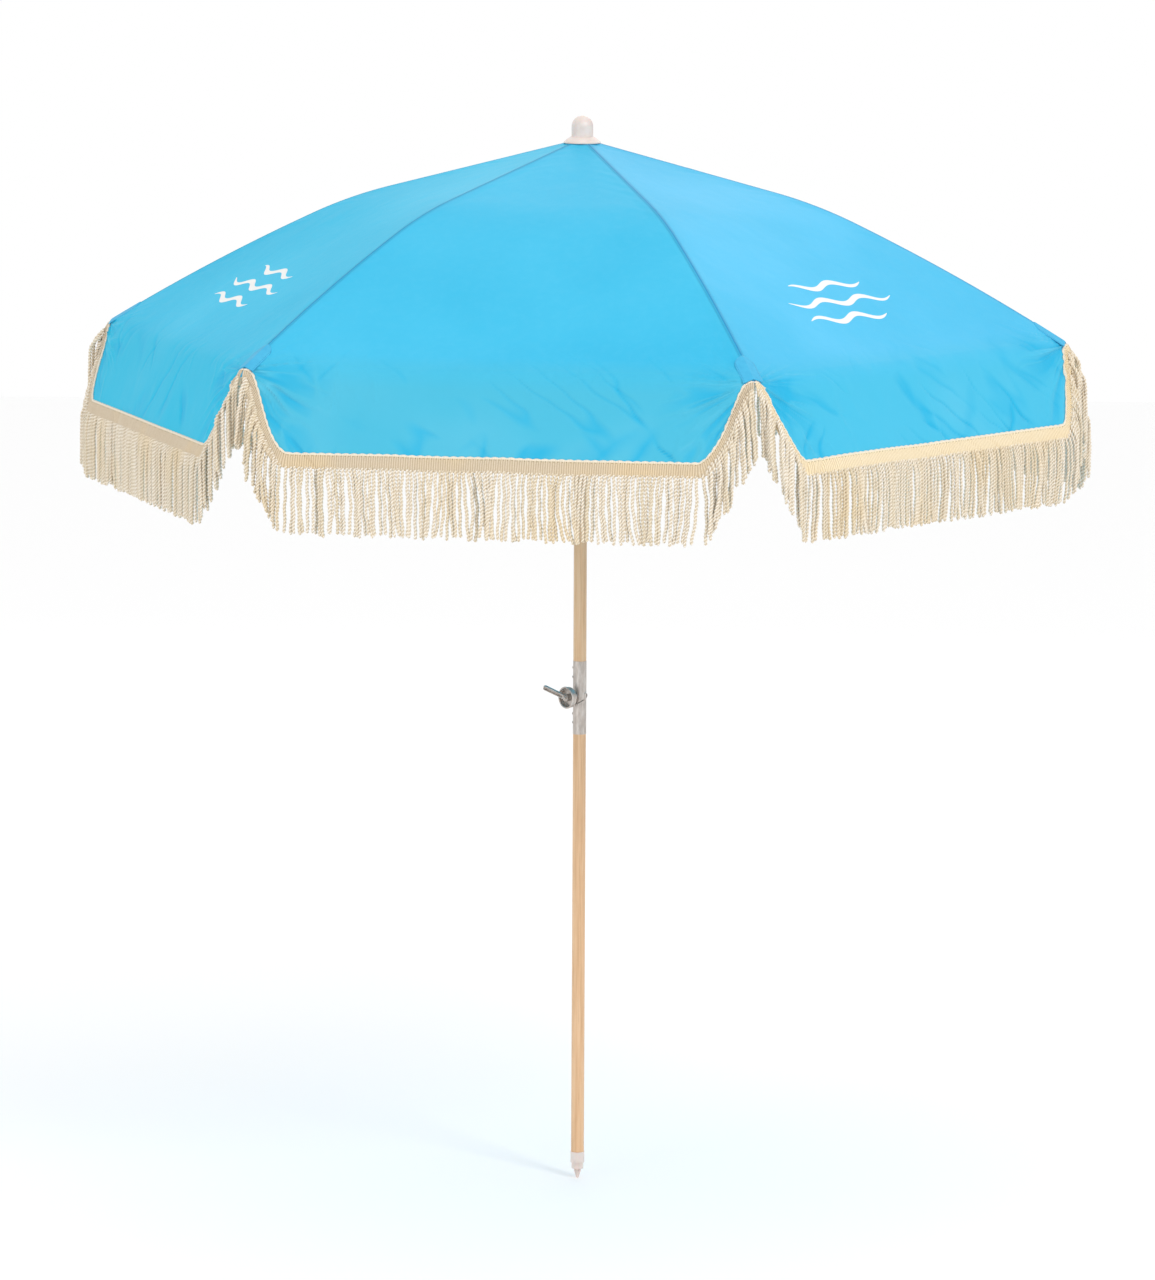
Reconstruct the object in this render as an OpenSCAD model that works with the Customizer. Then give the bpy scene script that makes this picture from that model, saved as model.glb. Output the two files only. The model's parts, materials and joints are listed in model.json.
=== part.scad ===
// Beach umbrella: two-piece wooden pole with a tilt joint, six ribs on a sliding
// runner, and a canopy with a hanging valance and cotton fringe.
// Millimetres, +Z up, origin at the tip of the ground spike on the pole's axis.

/* [Pole] */
// Diameter of the wooden pole
pole_d = 25; // [22:0.5:28]
// Height of the tilt pivot above the spike's tip
pivot_z = 942; // [850:1:980]
// Length of the lower metal sleeve below the pivot
lower_sleeve_len = 73; // [55:1:80]
// Length of the upper metal sleeve above the pivot
upper_sleeve_len = 68; // [60:1:90]
// Direction of the pivot bolt's lever end, as an angle from +X
pivot_turn = 222; // [0:1:359]

/* [Ground spike] */
// Height of the plastic spike up to the bare wood
spike_h = 52; // [45:1:60]
// Radius of the spike's collar
collar_r = 13.5; // [13:0.1:15]
// Length of the spike's collar
collar_len = 21; // [18:1:24]

/* [Canopy] */
// Horizontal reach of a rib tip from the pole's axis
canopy_r = 925; // [900:5:950]
// Height of the canopy cloth where the ribs meet the crown
crown_cloth_z = 2002; // [1990:1:2010]
// Direction of the first rib, as an angle from +X
first_rib = -10.75; // [-60:0.25:60]
// Slope of a rib between the crown and the stretcher, in degrees
inner_slope = 14.5; // [13:0.5:16]
// Slope of a rib just outside the stretcher, in degrees
outer_slope = 25; // [24:0.5:26]
// Slope of a rib at its tip, in degrees
tip_slope = 31.5; // [31:0.5:33]
// Hanging depth of the valance
valance_drop = 146; // [120:1:160]
// How far the valance leans outwards, in degrees
valance_flare = 20; // [10:1:25]
// Depth of the fringe with its braid
fringe_drop = 152; // [130:1:160]
// Distance from a rib tip to the valance's lower corner, along the rim
notch_half_w = 98; // [80:1:110]

/* [Frame] */
// Radius of the steel rod of a rib
rib_r = 2; // [1.6:0.1:2.2]
// Distance from the pole's axis to the stretcher's pivot on the rib
clip_r = 420; // [400:5:440]
// Height of the runner's stretcher pivots with the umbrella open
runner_pivot_z = 1680; // [1650:5:1700]

/* [Hidden] */
RIBS = 6;
function numbered(name) = [for (i = [1:RIBS]) str(name, "_", i)];
$fn = 48;

// Fits
pin_gap = 0.05;        // radial clearance of a pin in its hole
rib_hole_gap = 0.12;   // a rib's straight hole on the curved wire
stretcher_hole_gap = 0.22;
wood_gap = 0.1;        // radial clearance of a wooden tenon in its socket
soft_gap = 0.3;        // space between cloth solids on different bodies

// Pole and sleeves
pole_r = pole_d / 2;
sleeve_r = pole_r + 0.4;
tenon_r = pole_r - 1;
lower_sleeve_z = pivot_z - lower_sleeve_len;
upper_sleeve_z = pivot_z + upper_sleeve_len;
knuckle_r = 13.6;
knuckle_clear_r = 14.8;
knuckle_solid = 22;    // solid metal each side of the pivot
lap_gap = 0.15;        // half the space between the two lapped tongues
relief_angle = 24;     // side relief that lets the pole tilt
bolt_r = 3;
rivet_r = 1.5;
rivet_head_r = 2.7;
lower_rivet_z = [pivot_z - 34, pivot_z - 51];
upper_rivet_z = [pivot_z + 37, pivot_z + 55];
rivet_turn = 180;      // the rivets' side of the pole, as an angle from +X

// Crown
rib_pivot_r = 20;
rib_drop = 6;          // rod's axis below the cloth
rib_pivot_drop = 8;    // rib's pivot below the cloth
cloth_t = 1.6;
wire_r = 1.25;
crown_pivot_z = crown_cloth_z - rib_pivot_drop;
hub_top_z = crown_cloth_z - 4.5;
hub_flange_z = crown_cloth_z - 18;
hub_base_z = crown_cloth_z - 52;
hub_flange_r = 26;
hub_tube_r = 16;
pole_top_z = hub_flange_z;
blade_t = 3;           // thickness of the rib's flattened end
slot_gap = 0.4;
washer_r = 35;
washer_top_z = crown_cloth_z + 8;
finial_top_z = crown_cloth_z + 48;
finial_r = 20.5;
stud_r = 5;
cloth_hole_r = 14;

// Runner
runner_bore_r = pole_r + 0.3;
runner_tube_r = 16.5;
runner_flange_r = 27.5;
runner_pin_r = 22;
runner_base_z = runner_pivot_z - 40;
runner_top_z = runner_pivot_z + 9;

// Stretchers lie beside the ribs
clip_half_w = 2.9;
stretcher_y = clip_half_w + 0.3;
web_t = 1.6;
channel_depth = 4;
channel_h = 7;
eye_r = 4.5;
runner_ring_r = norm([runner_pin_r, stretcher_y + web_t / 2]);
clip_drop = 8;         // stretcher's pivot below the rod's axis

// The cloth's height over a rib: a straight run, a tight bend and a long bend
bend_start_r = 370;
bend_end_r = 520;
tight_bend_r = (bend_end_r - bend_start_r) / (sin(outer_slope) - sin(inner_slope));
long_bend_r = (canopy_r - bend_end_r) / (sin(tip_slope) - sin(outer_slope));
function slope_at(r) =
    r < bend_start_r ? inner_slope
    : r < bend_end_r ? asin(sin(inner_slope) + (r - bend_start_r) / tight_bend_r)
    : asin(sin(outer_slope) + (r - bend_end_r) / long_bend_r);
function straight_z(r) = crown_cloth_z - (r - rib_pivot_r) * tan(inner_slope);
function tight_z(r) =
    straight_z(bend_start_r) - tight_bend_r * (cos(inner_slope) - cos(slope_at(r)));
function long_z(r) =
    tight_z(bend_end_r - 0.001) - long_bend_r * (cos(outer_slope) - cos(slope_at(r)));
function cloth_z(r) =
    r < bend_start_r ? straight_z(r) : r < bend_end_r ? tight_z(r) : long_z(r);
function rod_z(r) = cloth_z(r) - rib_drop;

clip_pivot = [
    clip_r - clip_drop * sin(slope_at(clip_r)),
    rod_z(clip_r) - clip_drop * cos(slope_at(clip_r))
];
stretcher_run = clip_pivot[0] - runner_pin_r;
stretcher_rise = clip_pivot[1] - runner_pivot_z;
stretcher_len = norm([stretcher_run, stretcher_rise]);
stretcher_angle = atan2(stretcher_rise, stretcher_run);

WOOD = "#E3BE94";
STEEL = "#BDB6AE";
PLASTIC = "#EDE6E2";
CLOTH = "#45B8E6";
COTTON = "#E8DCC4";

// ---------- placing ----------

module at_rib(i) {
    rotate([0, 0, first_rib + 360 / RIBS * i]) children();
}

// Z runs along the pivot bolt, towards the lever
module along_pivot() {
    translate([0, 0, pivot_z]) rotate([0, 0, pivot_turn]) rotate([0, 90, 0]) children();
}

// X runs down the rib from a point on its rod
module at_rod(r) {
    translate([r, 0, rod_z(r)]) rotate([0, slope_at(r), 0]) children();
}

// A cylinder whose axis lies across a rib, from y0 to y1
module cross_cylinder(r, y0, y1) {
    translate([0, y1, 0]) rotate([90, 0, 0]) cylinder(r = r, h = y1 - y0);
}

// A ring of round wire
module wire_ring(ring_r, z, r) {
    translate([0, 0, z]) rotate_extrude() translate([ring_r, 0]) circle(r = r, $fn = 24);
}

// ---------- ground spike and lower pole ----------

step_len = 12;
step_r = 11.5;
cone_h = spike_h - collar_len - step_len;

module ground_spike() {
    color(PLASTIC) difference() {
        union() {
            translate([0, 0, spike_h - collar_len]) cylinder(r = collar_r, h = collar_len);
            translate([0, 0, cone_h]) cylinder(r = step_r, h = step_len);
            rotate_extrude() polygon([[0, 0], [1.6, 0], [2.6, 1.2], [5, cone_h], [0, cone_h]]);
            for (k = [0:3]) rotate([90, 0, 45 + 90 * k]) translate([0, 0, -0.9])
                linear_extrude(1.8)
                    polygon([[0, 2], [3.4, 2.5], [8.5, cone_h - 4], [8.5, cone_h], [0, cone_h]]);
        }
        translate([0, 0, spike_h - collar_len + 3])
            cylinder(r = tenon_r + wood_gap, h = collar_len);
    }
}

module lower_pole() {
    foot_z = spike_h - collar_len + 3.5;
    tenon_top_z = pivot_z - knuckle_solid - 1;
    color(WOOD) difference() {
        union() {
            translate([0, 0, foot_z]) cylinder(r = tenon_r, h = tenon_top_z - foot_z);
            translate([0, 0, spike_h]) cylinder(r = pole_r, h = lower_sleeve_z - spike_h);
        }
        rivet_holes(lower_rivet_z);
    }
}

// ---------- sleeves and rivets ----------

module rivet_holes(heights) {
    for (z = heights) translate([0, 0, z]) rotate([0, 0, rivet_turn]) rotate([0, 90, 0])
        cylinder(r = rivet_r + pin_gap, h = sleeve_r + 2);
}

module rivets(heights) {
    color(STEEL) for (z = heights)
        translate([0, 0, z]) rotate([0, 0, rivet_turn]) rotate([0, 90, 0]) {
            translate([0, 0, 3]) cylinder(r = rivet_r, h = sleeve_r - 2.6);
            translate([0, 0, sleeve_r + 0.1]) cylinder(r1 = rivet_head_r, r2 = 1.6, h = 1.3);
        }
}

// A sleeve before drilling, rounded over the pivot; up is 1 for the upper sleeve
module sleeve_blank(up) {
    far = 2 * upper_sleeve_len;
    spare = knuckle_r + 5;
    intersection() {
        translate([0, 0, up > 0 ? pivot_z - spare : lower_sleeve_z])
            cylinder(r = sleeve_r, h = spare + (up > 0 ? upper_sleeve_len : lower_sleeve_len));
        along_pivot() linear_extrude(4 * knuckle_r, center = true) {
            circle(r = knuckle_r);
            translate([up > 0 ? -far : 0, -2 * knuckle_r]) square([far, 4 * knuckle_r]);
        }
    }
}

// Room for the other sleeve's tongue, the bolt's hole and the relief for the tilt
module knuckle_cuts(up) {
    big = 3 * knuckle_clear_r;
    notch = knuckle_clear_r * cos(relief_angle);
    along_pivot() {
        translate([0, 0, up > 0 ? -big + lap_gap : -lap_gap]) cylinder(r = knuckle_clear_r, h = big);
        translate([0, 0, -big / 2]) cylinder(r = bolt_r + pin_gap, h = big);
        mirror([up > 0 ? 0 : 1, 0, 0]) linear_extrude(big, center = true) polygon([
            [0, notch], [0, big], [-big * tan(relief_angle), big],
            [-knuckle_clear_r * sin(relief_angle), notch]
        ]);
    }
}

module lower_sleeve() {
    color(STEEL) difference() {
        sleeve_blank(-1);
        translate([0, 0, lower_sleeve_z - 1])
            cylinder(r = tenon_r + wood_gap, h = lower_sleeve_len - knuckle_solid + 1);
        knuckle_cuts(-1);
        rivet_holes(lower_rivet_z);
    }
}

module upper_sleeve() {
    color(STEEL) difference() {
        sleeve_blank(1);
        translate([0, 0, pivot_z + knuckle_solid])
            cylinder(r = tenon_r + wood_gap, h = upper_sleeve_len);
        knuckle_cuts(1);
        rivet_holes(upper_rivet_z);
    }
}

// ---------- clamp on the pivot bolt ----------

spacer_start = sleeve_r + 0.2;
cup_start = 26;
cup_depth = 9;
cup_r = 20;
hub_start = cup_start + 2;
hub_len = 9;
bolt_end = hub_start + hub_len + 3;

module pivot_bolt() {
    color(STEEL) along_pivot() {
        translate([0, 0, -sleeve_r - 0.2]) cylinder(r = bolt_r, h = sleeve_r + 0.2 + bolt_end);
        translate([0, 0, -sleeve_r - 2.6]) cylinder(r1 = 5, r2 = 7, h = 2.4);
        translate([0, 0, bolt_end]) cylinder(r1 = 3, r2 = 2.2, h = 1);
    }
}

module pivot_spacer() {
    color(STEEL) along_pivot() difference() {
        translate([0, 0, spacer_start]) cylinder(r = 8, h = cup_start - spacer_start);
        cylinder(r = bolt_r + pin_gap, h = bolt_end);
    }
}

module cup_washer() {
    rim_r = 1.7;
    color(STEEL) along_pivot() {
        difference() {
            translate([0, 0, cup_start]) cylinder(r = cup_r, h = cup_depth);
            translate([0, 0, cup_start + 1.6]) cylinder(r = cup_r - 1.6, h = cup_depth);
            cylinder(r = bolt_r + pin_gap, h = bolt_end);
        }
        translate([0, 0, cup_start + cup_depth])
            rotate_extrude() translate([cup_r - 0.4, 0]) circle(r = rim_r, $fn = 24);
    }
}

// The wing is a folded channel that rises over the cup's rim
module clamp_lever() {
    wing_len = 45;
    wing_w = 8.7;
    wing_lift = 42;
    wing_turn = 234.5; // about the bolt, from pointing down the pole
    color(STEEL) along_pivot() difference() {
        union() {
            translate([0, 0, hub_start]) cylinder(r = 7, h = hub_len);
            translate([0, 0, hub_start + hub_len - 4]) rotate([0, 0, wing_turn])
                rotate([0, -wing_lift, 0]) translate([0, 0, -1]) difference() {
                    union() {
                        translate([0, -wing_w / 2, 0]) cube([wing_len, wing_w, 5]);
                        translate([wing_len, 0, 0]) cylinder(r = wing_w / 2, h = 5);
                    }
                    translate([9, -wing_w / 2 + 1.3, 1.4]) cube([wing_len + 10, wing_w - 2.6, 9]);
                }
        }
        cylinder(r = bolt_r + pin_gap, h = 2 * bolt_end);
        translate([0, 0, -1]) cylinder(r = 40, h = hub_start + 1);
    }
}

// ---------- upper pole and catch ----------

catch_w = 3.6;
catch_top_z = runner_base_z - 0.6;

module upper_pole() {
    tenon_z = pivot_z + knuckle_solid + 1;
    color(WOOD) difference() {
        union() {
            translate([0, 0, tenon_z]) cylinder(r = tenon_r, h = pole_top_z - tenon_z - 1);
            translate([0, 0, upper_sleeve_z]) cylinder(r = pole_r, h = pole_top_z - upper_sleeve_z);
        }
        rivet_holes(upper_rivet_z);
        translate([-catch_w / 2 - 0.3, -pole_r - 1, catch_top_z - 50])
            cube([catch_w + 0.6, pole_r - 3, 54]);
    }
}

module catch_spring() {
    leaf_y = -pole_r + 1.8;
    color(STEEL) translate([-catch_w / 2, 0, 0]) rotate([90, 0, 90]) linear_extrude(catch_w)
        polygon([
            [leaf_y, catch_top_z - 47], [leaf_y + 1.2, catch_top_z - 47],
            [leaf_y + 1.2, catch_top_z], [-pole_r - 4.5, catch_top_z],
            [-pole_r - 4.5, catch_top_z - 4], [leaf_y, catch_top_z - 20]
        ]);
}

// ---------- crown ----------

module crown_hub() {
    color(PLASTIC) difference() {
        union() {
            translate([0, 0, hub_base_z]) cylinder(r = hub_tube_r, h = hub_flange_z - hub_base_z);
            translate([0, 0, hub_flange_z]) cylinder(r = hub_flange_r, h = hub_top_z - hub_flange_z);
        }
        translate([0, 0, hub_base_z - 1])
            cylinder(r = pole_r + wood_gap, h = pole_top_z + 0.2 - hub_base_z + 1);
        translate([0, 0, hub_top_z - 8]) cylinder(r = stud_r + pin_gap, h = 20);
        for (i = [0:RIBS - 1]) at_rib(i)
            translate([15.2, -blade_t / 2 - slot_gap, hub_flange_z - 1])
                cube([20, blade_t + 2 * slot_gap, 30]);
        wire_ring(rib_pivot_r, crown_pivot_z, wire_r + pin_gap);
    }
}

module crown_pin_ring() {
    color(STEEL) wire_ring(rib_pivot_r, crown_pivot_z, wire_r);
}

module canopy_washer() {
    rim_z = straight_z(washer_r) + soft_gap;
    bore_r = stud_r + pin_gap;
    color(PLASTIC) rotate_extrude() polygon([
        [bore_r, straight_z(bore_r) + soft_gap], [washer_r, rim_z], [washer_r, rim_z + 2],
        [finial_r + 8, washer_top_z - 4], [finial_r + 2, washer_top_z], [bore_r, washer_top_z]
    ]);
}

module finial_cap() {
    dome_z = finial_top_z - finial_r;
    color(PLASTIC) {
        translate([0, 0, washer_top_z]) cylinder(r = finial_r, h = dome_z - washer_top_z);
        translate([0, 0, dome_z]) intersection() {
            sphere(r = finial_r);
            cylinder(r = finial_r + 1, h = finial_r + 1);
        }
        translate([0, 0, hub_top_z - 7]) cylinder(r = stud_r, h = washer_top_z - hub_top_z + 7);
    }
}

// ---------- runner ----------

module runner() {
    color(PLASTIC) difference() {
        union() {
            translate([0, 0, runner_base_z])
                cylinder(r = runner_tube_r, h = runner_top_z - runner_base_z);
            translate([0, 0, runner_base_z]) cylinder(r = runner_tube_r + 2.5, h = 5);
            translate([0, 0, runner_top_z - 18]) cylinder(r = runner_flange_r, h = 18);
        }
        translate([0, 0, runner_base_z - 1]) cylinder(r = runner_bore_r, h = 60);
        for (i = [0:RIBS - 1]) at_rib(i)
            translate([runner_tube_r + 0.5, stretcher_y - slot_gap, runner_top_z - 19])
                cube([20, web_t + 2 * slot_gap, 30]);
        wire_ring(runner_ring_r, runner_pivot_z, wire_r + pin_gap);
    }
}

module runner_pin_ring() {
    color(STEEL) wire_ring(runner_ring_r, runner_pivot_z, wire_r);
}

// ---------- ribs and stretchers ----------

// The rod is drawn a little thinner at each bend, so each length ends inside the one before
module rod_bend(r0, bend_r, a0, a1, r) {
    translate([r0 - bend_r * sin(a0), 0, rod_z(r0) - bend_r * cos(a0)]) rotate([90, 0, 0])
        rotate([0, 0, 90 - a1]) rotate_extrude(angle = a1 - a0, $fn = 360)
            translate([bend_r, 0]) circle(r = r, $fn = 24);
}

rod_start_r = 34;
rod_end_r = canopy_r - 7;
rod_step = 0.06;
joint_lap = 0.4;

module rib(i) {
    straight_len = (bend_start_r - rod_start_r) / cos(inner_slope);
    lap = joint_lap / tight_bend_r * 180 / PI;
    color(STEEL) at_rib(i) {
        at_rod(rod_start_r) rotate([0, 90, 0]) cylinder(r = rib_r, h = straight_len + joint_lap);
        rod_bend(bend_start_r, tight_bend_r, inner_slope, outer_slope + lap, rib_r - rod_step);
        rod_bend(bend_end_r, long_bend_r, outer_slope, slope_at(rod_end_r), rib_r - 2 * rod_step);
        translate([rib_pivot_r, 0, crown_pivot_z]) rotate([0, inner_slope, 0]) difference() {
            union() {
                cross_cylinder(4.2, -blade_t / 2, blade_t / 2);
                translate([0, -blade_t / 2, -2.6]) cube([27, blade_t, 6.4]);
            }
            cross_cylinder(wire_r + rib_hole_gap, -blade_t, blade_t);
        }
    }
}

module rib_clip(i) {
    color(STEEL) at_rib(i) at_rod(clip_r) difference() {
        union() {
            translate([-9, -clip_half_w, -4.5]) cube([18, 2 * clip_half_w, 6.9]);
            translate([0, 0, -clip_drop]) cross_cylinder(eye_r, -clip_half_w, clip_half_w);
            translate([-eye_r, -clip_half_w, -clip_drop]) cube([2 * eye_r, 2 * clip_half_w, 6]);
        }
        translate([-12, 0, 0]) rotate([0, 90, 0]) cylinder(r = rib_r + 0.12, h = 24);
    }
}

module rib_tip(i) {
    cap_len = 22;
    cap_r = 3;
    color(PLASTIC) at_rib(i) at_rod(rod_end_r) difference() {
        union() {
            translate([-cap_len + 4, 0, 0]) rotate([0, 90, 0]) cylinder(r = cap_r, h = cap_len);
            translate([4, 0, 0]) sphere(r = cap_r);
        }
        translate([-cap_len, 0, 0]) rotate([0, 90, 0]) cylinder(r = rib_r + 0.08, h = cap_len + 0.5);
    }
}

// A pressed channel, open on the side away from the rib, with flat riveted ends
module stretcher(i) {
    lip = 1.1;
    color(STEEL) at_rib(i) translate([runner_pin_r, stretcher_y, runner_pivot_z])
        rotate([0, -stretcher_angle, 0]) {
            difference() {
                union() {
                    cross_cylinder(eye_r - 0.5, 0, web_t);
                    translate([stretcher_len, 0, 0]) cross_cylinder(eye_r, 0, web_t);
                    translate([0, 0, -channel_h / 2]) cube([stretcher_len, web_t, channel_h]);
                    for (z = [-channel_h / 2, channel_h / 2 - lip])
                        translate([22, 0, z]) cube([stretcher_len - 44, channel_depth, lip]);
                }
                cross_cylinder(wire_r + stretcher_hole_gap, -1, web_t + 1);
            }
            translate([stretcher_len, 0, 0]) cross_cylinder(2.6, web_t / 2, web_t + 1.4);
        }
}

// ---------- cloth ----------

// Radii at which the canopy's facets meet, evenly spaced along a rib
cloth_steps = 14;
stations = [
    for (k = [0:cloth_steps]) cloth_hole_r + (canopy_r - cloth_hole_r) * k / cloth_steps
];

// The point across the half gore on one side, at a share of the way to its middle
function half_gore(r, side, share) =
    let (reach = (r / 2 - soft_gap / 2) * share)
    [r - reach * sin(180 / RIBS), side * reach * cos(180 / RIBS)];

function cloth_row(r, dz) = [
    for (side = [-1, 0, 1]) let (p = half_gore(r, side, abs(side))) [p[0], p[1], cloth_z(r) - dz]
];

// Cloth from the middle of one gore to the middle of the next, over one rib
module canopy(i) {
    n = len(stations);
    points = [for (dz = [0, cloth_t]) for (r = stations) each cloth_row(r, dz)];
    function top(k, c) = 3 * k + c;
    function low(k, c) = 3 * (n + k) + c;
    faces = [
        for (k = [0:n - 2]) for (c = [0, 1]) each [
            [top(k, c), top(k, c + 1), top(k + 1, c + 1), top(k + 1, c)],
            [low(k, c), low(k + 1, c), low(k + 1, c + 1), low(k, c + 1)]
        ],
        for (k = [0:n - 2]) each [
            [top(k, 0), top(k + 1, 0), low(k + 1, 0), low(k, 0)],
            [top(k, 2), low(k, 2), low(k + 1, 2), top(k + 1, 2)]
        ],
        for (c = [0, 1]) each [
            [top(0, c), low(0, c), low(0, c + 1), top(0, c + 1)],
            [top(n - 1, c), top(n - 1, c + 1), low(n - 1, c + 1), low(n - 1, c)]
        ]
    ];
    color(CLOTH) at_rib(i) polyhedron(points = points, faces = faces, convexity = 6);
}

// X runs along the rim from a rib tip, and Y down the leaning valance
module on_rim(lean) {
    translate([canopy_r, 0, cloth_z(canopy_r)]) rotate([0, 0, 90 + 180 / RIBS])
        rotate([-90 - lean, 0, 0]) children();
}

rim_half = canopy_r / 2 - soft_gap / 2;
valance_len = valance_drop / cos(valance_flare);
flap_top = 2.4;
notch_round_w = 54;    // the rounded top's part of the notch's half width
arch_steps = 8;

// The notch's half width at depth d below the rim: a rounded top, then corners swept out to the hem
function notch_x(d) =
    let (k = d / valance_len)
    notch_round_w * sqrt(k) + (notch_half_w - notch_round_w) * (1 - sqrt(max(0, 1 - k * k * k)));

arch_edge = [
    for (k = [0:arch_steps])
        let (d = flap_top + (valance_len - flap_top) * (1 - cos(180 * k / arch_steps)) / 2)
        [notch_x(d), d]
];

module half_valance() {
    on_rim(valance_flare) linear_extrude(cloth_t) polygon(concat(
        [[rim_half, flap_top]],
        arch_edge,
        [[rim_half, valance_len]]
    ));
}

module valance(i) {
    color(CLOTH) at_rib(i) {
        half_valance();
        mirror([0, 1, 0]) half_valance();
    }
}

fringe_t = 6;
fringe_lap = 4;        // how far the straight fringe runs past the notch's corner
fringe_hem_gap = 2;    // between the valance's lower edge and the straight fringe
fringe_top = valance_drop + cloth_t * sin(valance_flare);
fringe_foot = -fringe_top - fringe_drop + fringe_hem_gap;
fringe_out = valance_len * sin(valance_flare);   // how far out the valance's lower edge is
swing = atan2(fringe_out, notch_half_w + fringe_lap);
swing_len = (notch_half_w + fringe_lap) / cos(swing);
swing_slope = 1.27;    // keeps the climbing run behind the valance
swing_start = 14;      // the climbing run's nearest point to the rib tip, along the run
swing_start_top = -42;
swing_start_foot = -fringe_drop - 22;

// Straight fringe under the valance, and a run that climbs the notch to the rib tip
module half_fringe() {
    translate([canopy_r, 0, cloth_z(canopy_r)]) rotate([0, 0, 90 + 180 / RIBS]) {
        translate([notch_half_w - fringe_lap, 2.5 - fringe_out - fringe_t, fringe_foot])
            cube([rim_half - notch_half_w + fringe_lap, fringe_t, fringe_drop - fringe_hem_gap]);
        rotate([0, 0, -swing]) rotate([90, 0, 0]) linear_extrude(fringe_t) polygon([
            [swing_start, swing_start_top], [swing_len - 5, -24 - swing_slope * swing_len],
            [swing_len - 5, fringe_foot], [swing_start, swing_start_foot]
        ]);
    }
}

module fringe(i) {
    color(COTTON) at_rib(i) {
        half_fringe();
        mirror([0, 1, 0]) half_fringe();
    }
}

// ---------- the parts ----------

ground_spike();
lower_pole();
lower_sleeve();
rivets(lower_rivet_z);  // lower_sleeve_rivets
pivot_bolt();
pivot_spacer();
cup_washer();
clamp_lever();
upper_sleeve();
rivets(upper_rivet_z);  // upper_sleeve_rivets
upper_pole();
catch_spring();
crown_hub();
crown_pin_ring();
canopy_washer();
finial_cap();
runner();
runner_pin_ring();
for (i = [0:RIBS - 1]) {
    rib(i);
    rib_clip(i);
    rib_tip(i);
    stretcher(i);
    canopy(i);
    valance(i);
    fringe(i);
}
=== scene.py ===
"""Beach umbrella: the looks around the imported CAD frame."""
import json
import math

import bpy
import numpy as np
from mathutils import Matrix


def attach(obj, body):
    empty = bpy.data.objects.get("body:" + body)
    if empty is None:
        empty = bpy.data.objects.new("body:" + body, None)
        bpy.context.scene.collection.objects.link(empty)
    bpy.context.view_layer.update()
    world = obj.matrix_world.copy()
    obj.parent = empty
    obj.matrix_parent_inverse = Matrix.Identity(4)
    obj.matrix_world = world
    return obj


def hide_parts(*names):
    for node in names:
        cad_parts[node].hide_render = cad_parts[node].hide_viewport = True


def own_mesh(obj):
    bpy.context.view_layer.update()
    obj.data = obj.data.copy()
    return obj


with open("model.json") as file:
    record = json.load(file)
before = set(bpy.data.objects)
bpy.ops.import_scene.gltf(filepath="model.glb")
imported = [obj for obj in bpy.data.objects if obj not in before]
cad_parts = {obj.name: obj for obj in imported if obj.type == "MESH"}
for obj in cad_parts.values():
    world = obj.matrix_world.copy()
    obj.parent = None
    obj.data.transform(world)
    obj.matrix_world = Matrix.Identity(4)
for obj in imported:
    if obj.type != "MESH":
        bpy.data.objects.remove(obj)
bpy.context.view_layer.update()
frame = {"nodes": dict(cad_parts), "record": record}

# ---------- sizes, in metres ----------

RIBS = 6
HALF_TURN = math.pi / RIBS            # from a rib to the middle of the gore beside it
CANOPY_R = 0.925                      # reach of a rib tip
CROWN_Z = 2.002                       # cloth at the ribs' pivots
FIRST_RIB = math.radians(-10.75)
INNER_SLOPE = math.radians(14.5)
OUTER_SLOPE = math.radians(25.0)
TIP_SLOPE = math.radians(31.5)
BEND_START = 0.370
BEND_END = 0.520
PIVOT_R = 0.020
CLOTH_HOLE_R = 0.014
TIGHT_R = (BEND_END - BEND_START) / (math.sin(OUTER_SLOPE) - math.sin(INNER_SLOPE))
LONG_R = (CANOPY_R - BEND_END) / (math.sin(TIP_SLOPE) - math.sin(OUTER_SLOPE))
FLARE = math.radians(20.0)            # how far the valance leans outwards
VALANCE_LEN = 0.146 / math.cos(FLARE)
NOTCH_TOP = 0.004                     # how far below the rim the notch between valances starts
NOTCH_ROUND = 0.044                   # the rounded top's part of the notch's half width
NOTCH_SWEEP = 0.051                   # the part of it in the corners swept out to the hem
NOTCH_W = NOTCH_ROUND + NOTCH_SWEEP
RIM_HALF = CANOPY_R / 2               # from a rib tip to the middle of the rim
FOLD_R = 0.050                        # roundness of the cloth where the valance starts
BELOW_HEM = 0.08                      # how far the profile runs on below the hem, for the braid
TAPE_HALF = 0.006                     # half width of the seam's allowance
POCKET_HALF = 0.019                   # half width of the patch over a rib's tip
POCKET_LEN = 0.060
BRAID_W = 0.028
BRAID_LAP = 0.004                     # the braid's lap over the cloth's edge
BRAID_RIB = 0.0042                    # from one woven ridge of the braid to the next
BRAID_LOOP = 0.0075                   # from one loop of its edge to the next
TASSEL_LEN = 0.124
TASSEL_R = 0.0038
TASSEL_STEP = 0.0073                  # along the edge from one cord to the next
TASSEL_PITCH = 0.0130                 # one turn of a cord's twist
RANDOM_TURN = 6.3                     # the range of random phases, a little over a full turn
LEFT_GORE = 3                         # gore 0 is between ribs 1 and 2
RIGHT_GORE = 5
NO_SEAM = 0.1                         # added to the distance from a seam where there is none

LENS = 198.0                          # the lens and the sensor are in millimetres
SENSOR = 36.0
CAMERA_PLACE = (0.0, -12.0, 2.807)
CAMERA_TILT = 8.33                    # degrees below level
CAMERA_ROLL = -0.28
CAMERA_SHIFT = -0.006
FLOOR_HALF = 14.0


# ---------- small helpers ----------

def smooth(x):
    """Smooth step from 0 to 1."""
    x = np.clip(x, 0.0, 1.0)
    return x * x * (3 - 2 * x)


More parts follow.
